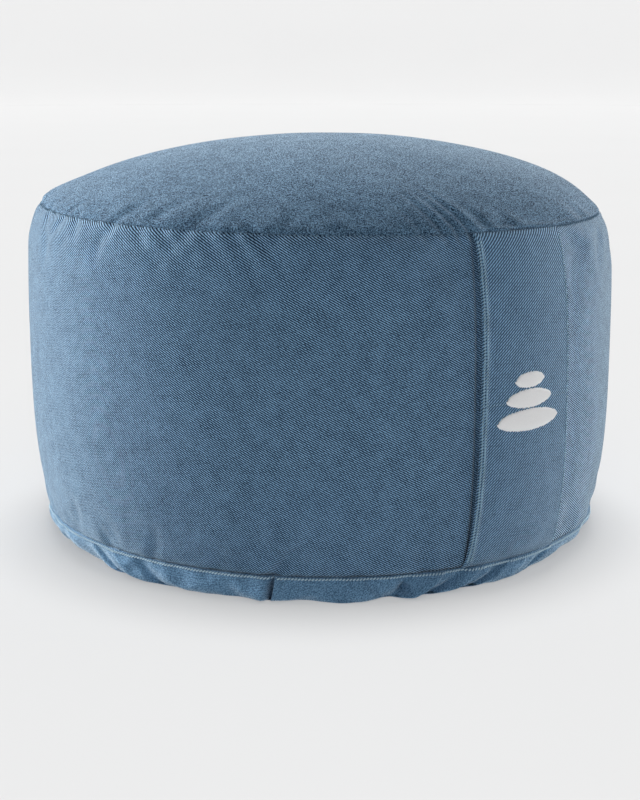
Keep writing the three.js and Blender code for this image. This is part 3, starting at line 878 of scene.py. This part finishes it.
def strap_section():
    """The strap's cross-section as (across, out) points: outer face, right edge, inner face, left edge."""
    half = STRAP_WIDTH / 2
    edge, thin = HEM_CLOTH / 2, STRAP_CLOTH / 2
    face = np.linspace(-half + edge, half - thin, 81)
    hem = smooth((-face - (half - HEM - 0.8)) / 0.8)
    outer = np.stack([face, mix(STRAP_CLOTH, HEM_CLOTH, hem)], axis=1)
    turn = np.radians(np.linspace(90, -90, 9))[1:-1]
    right = np.stack([half - thin + thin * np.cos(turn), thin + thin * np.sin(turn)], axis=1)
    back = np.linspace(half - thin, -half + edge, 33)
    inner = np.stack([back, 0 * back], axis=1)
    left = np.stack([-half + edge - edge * np.cos(turn), edge + edge * np.sin(turn)], axis=1)[::-1]
    return np.concatenate([outer, right, inner, left])


def strap_face(across):
    """How far out the strap's outer face is."""
    thickness = STRAP_CLOTH if across > -STRAP_WIDTH / 2 + HEM else HEM_CLOTH
    edge = thickness / 2
    inside = min(max(STRAP_WIDTH / 2 - abs(across), 0), edge)
    return edge + math.sqrt(edge**2 - (edge - inside) ** 2)


def strap_half(name, low_share, high_share):
    section = strap_section()
    lengths = np.concatenate([[0], np.cumsum(np.linalg.norm(np.diff(section, axis=0), axis=1))])
    lengths = np.append(lengths, lengths[-1] + 1)
    rings = []
    for share in np.linspace(low_share, high_share, 76):
        points = strap_point(section[:, 0], share, section[:, 1])
        rings.append((points, np.stack([-lengths, 0 * lengths + share * SIDE_HEIGHT], axis=1)))
    first, last = [[part.mean(axis=0, keepdims=True) for part in rings[end]] for end in (0, -1)]
    return dress(skin(name, [first, *rings, last], rounded=False), STRAP_TWILL)


def capsules(name, starts, ends, radius, sides=6):
    """One mesh of separate rounded threads, each from a start to an end."""
    starts, ends = np.asarray(starts, float), np.asarray(ends, float)
    along = ends - starts
    length = np.linalg.norm(along, axis=1, keepdims=True)
    along = along / length
    helper = np.where(np.abs(along[:, 2:]) > 0.9, [[1.0, 0, 0]], [[0, 0, 1.0]])
    side = np.cross(along, helper)
    side /= np.linalg.norm(side, axis=1, keepdims=True)
    other = np.cross(along, side)
    stations = [(0.05, 0.62), (0.22, 0.95), (0.5, 1.0), (0.78, 0.95), (0.95, 0.62)]  # share, width
    turn = np.linspace(0, 2 * np.pi, sides, endpoint=False)[None, :, None]
    spoke = side[:, None, :] * np.cos(turn) + other[:, None, :] * np.sin(turn)
    local = [starts[:, None, :]]
    for share, width in stations:
        centre = starts + along * length * share
        local.append(centre[:, None, :] + spoke * radius * width)
    local.append(ends[:, None, :])
    vertices = np.concatenate(local, axis=1).reshape(-1, 3)
    faces, one = [], []
    rings = len(stations)
    block = 2 + sides * rings
    last = 1 + sides * (rings - 1)
    for j in range(sides):
        k = (j + 1) % sides
        one.append((0, 1 + k, 1 + j))
        one.append((last + j, last + k, block - 1))
        for r in range(rings - 1):
            a, b = 1 + sides * r, 1 + sides * (r + 1)
            one.append((a + j, a + k, b + k, b + j))
    for i in range(len(starts)):
        faces.extend([tuple(corner + i * block for corner in face) for face in one])
    return finish_mesh(name, vertices * MM, faces)


def strap_stitches(name, low_share, high_share):
    """Rows of slanted stitches down both hems: two on the left, and one on the right."""
    half = STRAP_WIDTH / 2
    radius, proud = 0.34, 0.12
    starts, ends = [], []
    rows = (  # across the strap, lean, length and pitch
        (-half + 0.7, 0.7, 1.2, 1.5),
        (-half + 2.4, 0.9, 1.2, 1.5),
        (half - 0.9, 0.3, 1.3, 2.0),
    )
    for at, lean, length, pitch in rows:
        step = pitch / SIDE_HEIGHT
        for share in np.arange(low_share + 0.3 * step, high_share - step, step):
            for across, up, into in ((at - lean / 2, 0, starts), (at + lean / 2, length, ends)):
                out = strap_face(across) + proud
                into.append(strap_point(np.array(across), share + up / SIDE_HEIGHT, out))
    return dress(capsules(name, starts, ends, radius), THREAD)


def emblem_stone(node):
    """An embroidered stone: satin stitch, with a thread for every ridge, over a padded ellipse."""
    low, high = box_mm(node)
    middle, size = (low + high) / 2, high - low
    ridge, steps = 0.5, 6  # a thread's width, and the mesh columns on each
    slant, padding, round_thread = 0.5, 0.9, 0.22
    threads = int(size[0] / ridge)
    across = np.linspace(-1, 1, threads * steps + 1)
    arc = np.sqrt(np.clip(1 - across**2, 0, 1))
    wobble = np.random.default_rng(int(size[0]) + 3).uniform(-0.25, 0.25, threads + 2)
    ragged = wobble[np.clip((np.arange(len(across)) / steps).astype(int), 0, threads + 1)]
    reach = arc * size[2] / 2 + ragged * (np.abs(across) < 0.97)
    strands = np.abs(np.sin(np.pi * np.arange(len(across)) / steps))
    rings = []
    for up in np.linspace(-1, 1, 15):
        pad = (1 - up**2) ** 0.5 * (0.35 + 0.65 * arc)
        lift = STRAP_CLOTH + 0.1 + padding * pad + round_thread * strands * np.sqrt(1 - up**2 * 0.9)
        share = (middle[2] + up * reach - BASE_SEAM) / SIDE_HEIGHT
        rings.append(strap_point(across * size[0] / 2 + slant * up, share, lift))
    grid = np.stack(rings)
    index = np.arange(grid[..., 0].size).reshape(grid.shape[:2])
    back = index + index.size
    rim = np.concatenate([index[0, :-1], index[:-1, -1], index[-1, :0:-1], index[:0:-1, 0]]).tolist()
    walls = [(a, b, b + index.size, a + index.size) for a, b in zip(rim, rim[-1:] + rim[:-1])]
    behind = grid.copy()
    behind[..., 1] = np.maximum(grid[..., 1] + 0.2, grid[..., 1].max(axis=0, keepdims=True) - 0.2)
    vertices = np.concatenate([grid.reshape(-1, 3), behind.reshape(-1, 3)])
    name = node.replace("emblem", "embroidered")
    made = finish_mesh(name, vertices * MM, grid_faces(index) + grid_faces(back.T) + walls)
    dress(made, EMBROIDERY)
    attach(made, "handle")
    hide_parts(node)


# ---- Topstitching along the base seam ----
def seam_stitches():
    """A rope-like row of slanted stitches on the base panel's edge, and over the strap's end."""
    pitch, length, rise, radius = 1.7, 1.45, 0.6, 0.38
    foot, proud, over_strap = 0.9, 0.35, 1.5
    strap_reach = math.degrees(STRAP_WIDTH / 2 / BASE_RADIUS) + 0.8
    count = int(2 * np.pi * BASE_RADIUS / pitch)
    starts, ends = [], []
    for at in 360 * np.arange(count) / count:
        if abs(apart(at, ZIP_AT)) < ZIP_HALF_SPAN + 1:
            continue
        turn = math.degrees(length / BASE_RADIUS)
        for angle, drop, into in ((at, foot, starts), (at + turn, foot - rise, ends)):
            out = proud + over_strap * smooth(strap_reach - abs(apart(angle, STRAP_AT)))
            into.append(base_point(np.array(angle), np.array(drop / BASE_CLOTH), out))
    return dress(capsules("base_seam_stitches", starts, ends, radius), SEAM_THREAD)


def top_seam_ties():
    """The seam's own stitches, which show as short ties across the groove under the top panel."""
    pitch, reach, radius, sunk = 2.6, 0.9, 0.32, 0.1
    over_rim = 0.035  # as a share of the top panel
    count = int(2 * np.pi * TOP_RADIUS / pitch)
    around = 360 * np.arange(count) / count
    starts = side_point(around, np.full(count, 1 - reach / SIDE_HEIGHT), -sunk)
    ends = dome_point(around, np.full(count, over_rim), -sunk)
    return dress(capsules("top_seam_ties", starts, ends, radius), TIE_THREAD)


# ---- Zip ----
def zip_teeth():
    """The zip's two nylon coils: loops that reach in from each tape by turns and mesh in the middle."""
    pitch, radius, past_middle = 1.2, 0.5, 0.7
    middle = (COIL_LOW[2] + COIL_HIGH[2]) / 2
    span = ZIP_HALF_SPAN - 1.4  # degrees, inside the stops
    face = COIL_HIGH[1] - radius
    starts, ends = [], []
    count = int(math.radians(2 * span) * face / pitch)
    for i in range(count):
        at = ZIP_AT + span * (2 * (i + 0.5) / count - 1)
        side_of = 1 if i % 2 else -1
        starts.append(polar(face - 0.5, at, middle + side_of * (COIL_HIGH[2] - middle - radius)))
        ends.append(polar(face, at, middle - side_of * past_middle))
    return dress(capsules("cover_zip_coils", starts, ends, radius), COIL)


def zip_stitches():
    """A row of straight stitches along each edge of the zip's opening."""
    pitch, length, radius, proud = 3.1, 2.4, 0.36, 0.25
    above, below = 2.2 / (TOP_SEAM - ZIP_TOP), 0.14  # shares of the side panel and of the base panel
    span = ZIP_HALF_SPAN + 0.4
    starts, ends = [], []
    count = int(math.radians(2 * span) * BASE_RADIUS / pitch)
    for at in ZIP_AT + span * (2 * np.arange(count) / count - 1):
        turn = at + math.degrees(length / BASE_RADIUS)
        for angle, into in ((at, starts), (turn, ends)):
            into.append(side_point(np.array(angle), np.array(above), proud))
            into.append(base_point(np.array(angle), np.array(below), proud))
    return dress(capsules("cover_zip_stitches", starts, ends, radius), THREAD)


# ---- Build ----
simulate_cover()
side = dress(side_panel(), TWILL)
top = dress(top_panel(), DOME_TWILL_PAINTED_SHADE)
base = dress(base_panel(), BASE_TWILL_PAINTED_LIGHT)
for piece, node in ((side, "cover_side_panel"), (top, "cover_top_panel"), (base, "cover_bottom_panel")):
    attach(piece, "cushion")
    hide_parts(node)

strap_upper = strap_half("strap_upper", 0.5, 1.0)
strap_lower = strap_half("strap_lower", 0.0, 0.5)
stitches_upper = strap_stitches("strap_stitches_upper", 0.5, 0.985)
stitches_lower = strap_stitches("strap_stitches_lower", 0.02, 0.5)
for piece, nodes in (
    (strap_upper, ["handle_strap"]),
    (stitches_upper, ["handle_topstitch_left", "handle_topstitch_right"]),
):
    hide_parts(*nodes)
    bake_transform(piece)
for piece, nodes in (
    (strap_lower, ["handle_strap"]),
    (stitches_lower, ["handle_topstitch_left", "handle_topstitch_right"]),
):
    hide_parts(*nodes)
    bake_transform(piece)

for stone in ("emblem_stone_lower", "emblem_stone_middle", "emblem_stone_upper"):
    emblem_stone(stone)

stitches = seam_stitches()
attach(stitches, "cushion")
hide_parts("bottom_seam_topstitch_left", "bottom_seam_topstitch_right")
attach(top_seam_ties(), "cushion")

teeth = zip_teeth()
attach(teeth, "cushion")
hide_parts("cover_zip_coil_lower", "cover_zip_coil_upper")
hem_stitches = zip_stitches()
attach(hem_stitches, "cushion")
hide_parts("zip_topstitch_lower", "zip_topstitch_upper")


# ---- Studio ----
# The studio is in metres.
SKY = 0.39
FLOOR_GLOW, WALL_GLOW = 0.345, 0.8  # the paper glows a little, so that it stays pale
FLOOR_EDGE, SWEEP, WALL = 6.0, 1.5, 4.5  # the floor's radius, the backdrop's curve, and its height
FLOOR_DROP = 0.0005  # how far the paper lies below the cushion


def paper(name, color, low_glow, high_glow):
    """Studio paper whose glow rises up the backdrop's curve, as the light from above fades on it."""
    s = Shader(name, Roughness=1.0, Specular_IOR_Level=0.0, Emission_Color=(1, 1, 1, 1))
    place = s.place()
    heights = {"Value": s.split(place)[2], "From Max": SWEEP, "To Min": low_glow, "To Max": high_glow}
    glow = s.add("MapRange", heights)
    uneven = 0.005
    tone = s.ramp(s.noise(place, 3), (0.0, (color - uneven,) * 3), (1.0, (color + uneven,) * 3))
    return s.done(Base_Color=tone, Emission_Strength=glow)


def studio_sheet(name, profile, first, last, material):
    """A sheet of studio paper: a profile of radius and height, swept between two angles."""
    around = np.linspace(first, last, 73)
    rows = np.concatenate([polar(radius, around, z - FLOOR_DROP) for radius, z in profile])
    mesh = bpy.data.meshes.new(name)
    mesh.from_pydata(rows.tolist(), [], grid_faces(np.arange(len(rows)).reshape(len(profile), len(around))))
    mesh.polygons.foreach_set("use_smooth", np.ones(len(mesh.polygons), bool))
    sheet = put_in_scene(name, mesh)
    sheet.data.materials.append(material)
    return sheet


def stage_floor():
    """A round floor, with a backdrop that sweeps up from it all the way round.

    The half of the backdrop on the camera's side only closes the view from behind: it neither lights
    the cushion nor shades it.
    """
    turn = np.linspace(0.1, math.pi / 2, 12)
    sweep = [(FLOOR_EDGE + SWEEP * math.sin(t), SWEEP - SWEEP * math.cos(t)) for t in turn]
    sweep = [(FLOOR_EDGE, 0.0), *sweep, (FLOOR_EDGE + SWEEP, WALL)]
    first, last = CAMERA_AT + 80, CAMERA_AT + 280
    white = paper("studio_paper", 0.3, FLOOR_GLOW, WALL_GLOW)
    glowing = paper("studio_front_paper", 0.01, 0.9, 0.9)
    floor = studio_sheet("studio_floor", [(0.001, 0.0), (0.5, 0.0), sweep[0]], 0, 360, white)
    backdrop = studio_sheet("studio_backdrop", sweep, first, last, white)
    front = studio_sheet("studio_front", sweep, last, first + 360, glowing)
    front.visible_diffuse = front.visible_glossy = front.visible_shadow = False
    return [floor, backdrop, front]


def toward_camera(right, forward, up):
    """A place in the studio: metres right of, in front of and above the cushion, as the camera sees it."""
    turn = math.radians(CAMERA_AT)
    toward = np.array([math.cos(turn), math.sin(turn), 0])
    rightward = np.array([-toward[1], toward[0], 0])
    return Vector(toward * forward + rightward * right + [0, 0, up])


def lights_only(lamp, sheets, keep):
    """The lamp lights the studio paper alone (INCLUDE), or everything else (EXCLUDE)."""
    lit = bpy.data.collections.new(lamp.name + "_reach")
    for i, sheet in enumerate(sheets):
        lit.objects.link(sheet)
        lit.collection_objects[i].light_linking.link_state = keep
    lamp.light_linking.receiver_collection = lit


def softbox(name, sheets, place, size, power, aim=(0, 0, 0.1)):
    data = bpy.data.lights.new(name, "AREA")
    data.shape, data.size, data.size_y, data.energy = "RECTANGLE", *size, power
    lamp = put_in_scene(name, data)
    lamp.location = place
    lamp.rotation_euler = (Vector(aim) - place).to_track_quat("-Z", "Y").to_euler()
    lights_only(lamp, sheets, "EXCLUDE")


def paper_light(name, sheets, place, strength, spread):
    """An even light on the floor and backdrop."""
    data = bpy.data.lights.new(name, "SUN")
    data.energy, data.angle = strength, math.radians(spread)
    lamp = put_in_scene(name, data)
    lamp.rotation_euler = place.to_track_quat("Z", "Y").to_euler()
    lights_only(lamp, sheets, "INCLUDE")


def studio():
    bpy.context.scene.view_settings.view_transform = "Standard"
    sheets = stage_floor()
    world = bpy.data.worlds.new("studio")
    bpy.context.scene.world = world
    world.use_nodes = True
    sky = world.node_tree.nodes["Background"]
    sky.inputs["Color"].default_value = (0.97, 0.98, 1.0, 1)
    sky.inputs["Strength"].default_value = SKY
    paper_light("paper_top", sheets[:2], toward_camera(0, -0.12, 1.0), 3.2, 24)
    paper_light("paper_front", sheets[:2], toward_camera(0, 0.8, 0.6), 1.15, 30)
    softbox("left_box", sheets, toward_camera(-1.43, -0.38, 0.68), (0.8, 1.2), 37)
    softbox("right_box", sheets, toward_camera(1.3, -0.82, 0.36), (0.8, 1.2), 25)
    softbox("back_box", sheets, toward_camera(-0.85, -1.25, 0.95), (1.8, 0.6), 7)


def camera():
    away, up, pitch = 0.9107, 0.2729, 0.2225
    data = bpy.data.cameras.new("camera")
    data.sensor_width, data.lens = 36, 72
    eye = put_in_scene("camera", data)
    eye.location = toward_camera(0, away, up)
    eye.rotation_euler = (math.pi / 2 - pitch, 0, math.radians(CAMERA_AT + 90))
    bpy.context.scene.camera = eye


studio()
camera()
